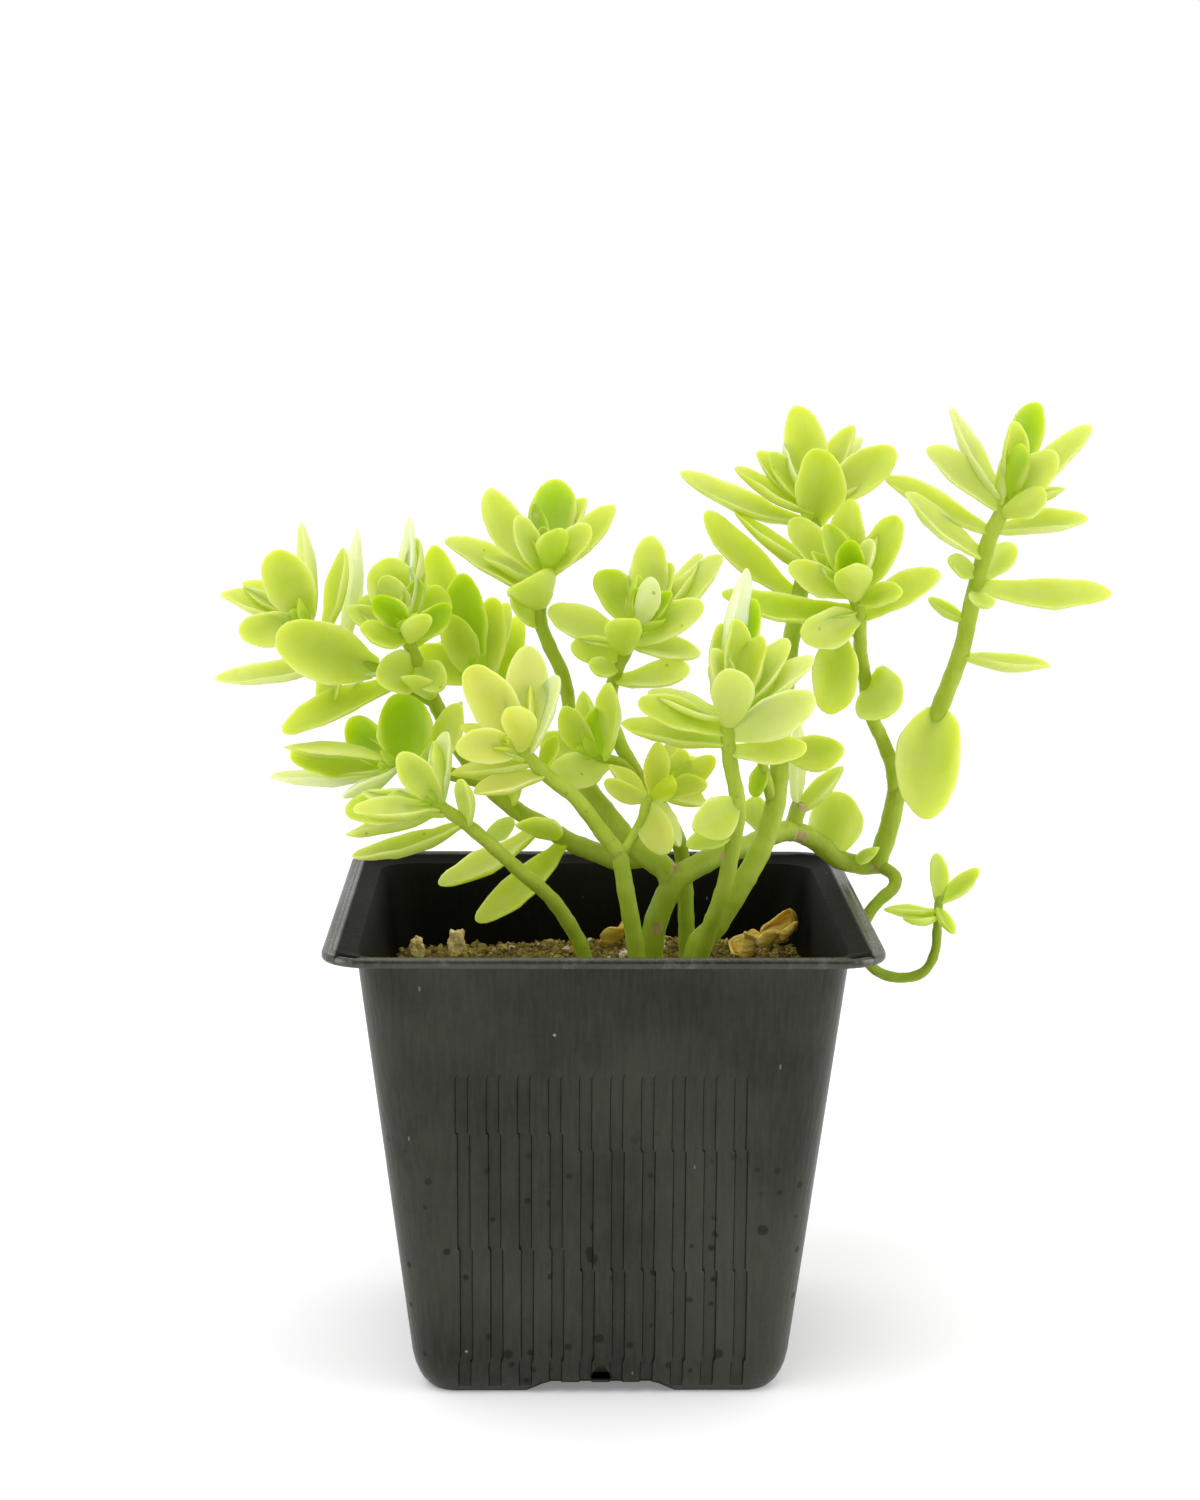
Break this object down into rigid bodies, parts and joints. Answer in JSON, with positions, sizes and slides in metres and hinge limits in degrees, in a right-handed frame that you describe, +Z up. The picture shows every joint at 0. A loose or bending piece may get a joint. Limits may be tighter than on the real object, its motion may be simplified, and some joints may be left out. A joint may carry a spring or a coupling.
{
  "type": "potted stonecrop plant",
  "caption": "Young lesser mexican stonecrop with fleshy yellow-green rosettes on branching stems, growing in a square black plastic nursery pot full of soil.",
  "frame": {"origin": "on the ground plane, under the middle of the bounding box of the whole plant and pot", "axes": "+Z up along the pot's axis, +X to the right seen from the front, -Y towards the viewer in front"},
  "size_m": [0.1554, 0.09, 0.1622],
  "materials": {
    "pot_plastic": "thin moulded nursery-pot plastic, satin, near black with an olive tint, fine scratches and dust",
    "soil": "loose dark brown potting soil; fabric stands in for it, as a light matt material",
    "leaf_green": "living succulent leaf and stem, yellow green, waxy satin, slightly translucent; rubber stands in for it",
    "leaf_yellow": "living succulent leaf and stem, paler and yellower, waxy satin; rubber stands in for it",
    "dry_leaf": "dead leaf, ochre and brown, dry and matt; leather stands in for it",
    "bark": "tan bark chip, rough",
    "perlite": "white porous perlite grain, matt"
  },
  "bodies": {
    "root": {"pot": "pot_plastic", "soil": "soil", "shoot_front_left": "leaf_green", "shoot_front_middle": "leaf_yellow", "shoot_main": "leaf_green", "shoot_right": "leaf_green", "shoot_middle": "leaf_green", "dry_leaf_right": "dry_leaf", "dry_leaf_middle": "dry_leaf", "bark_chip_left": "bark", "bark_chip_right": "bark", "perlite_grain_1": "perlite", "perlite_grain_2": "perlite"}
  },
  "joints": []
}
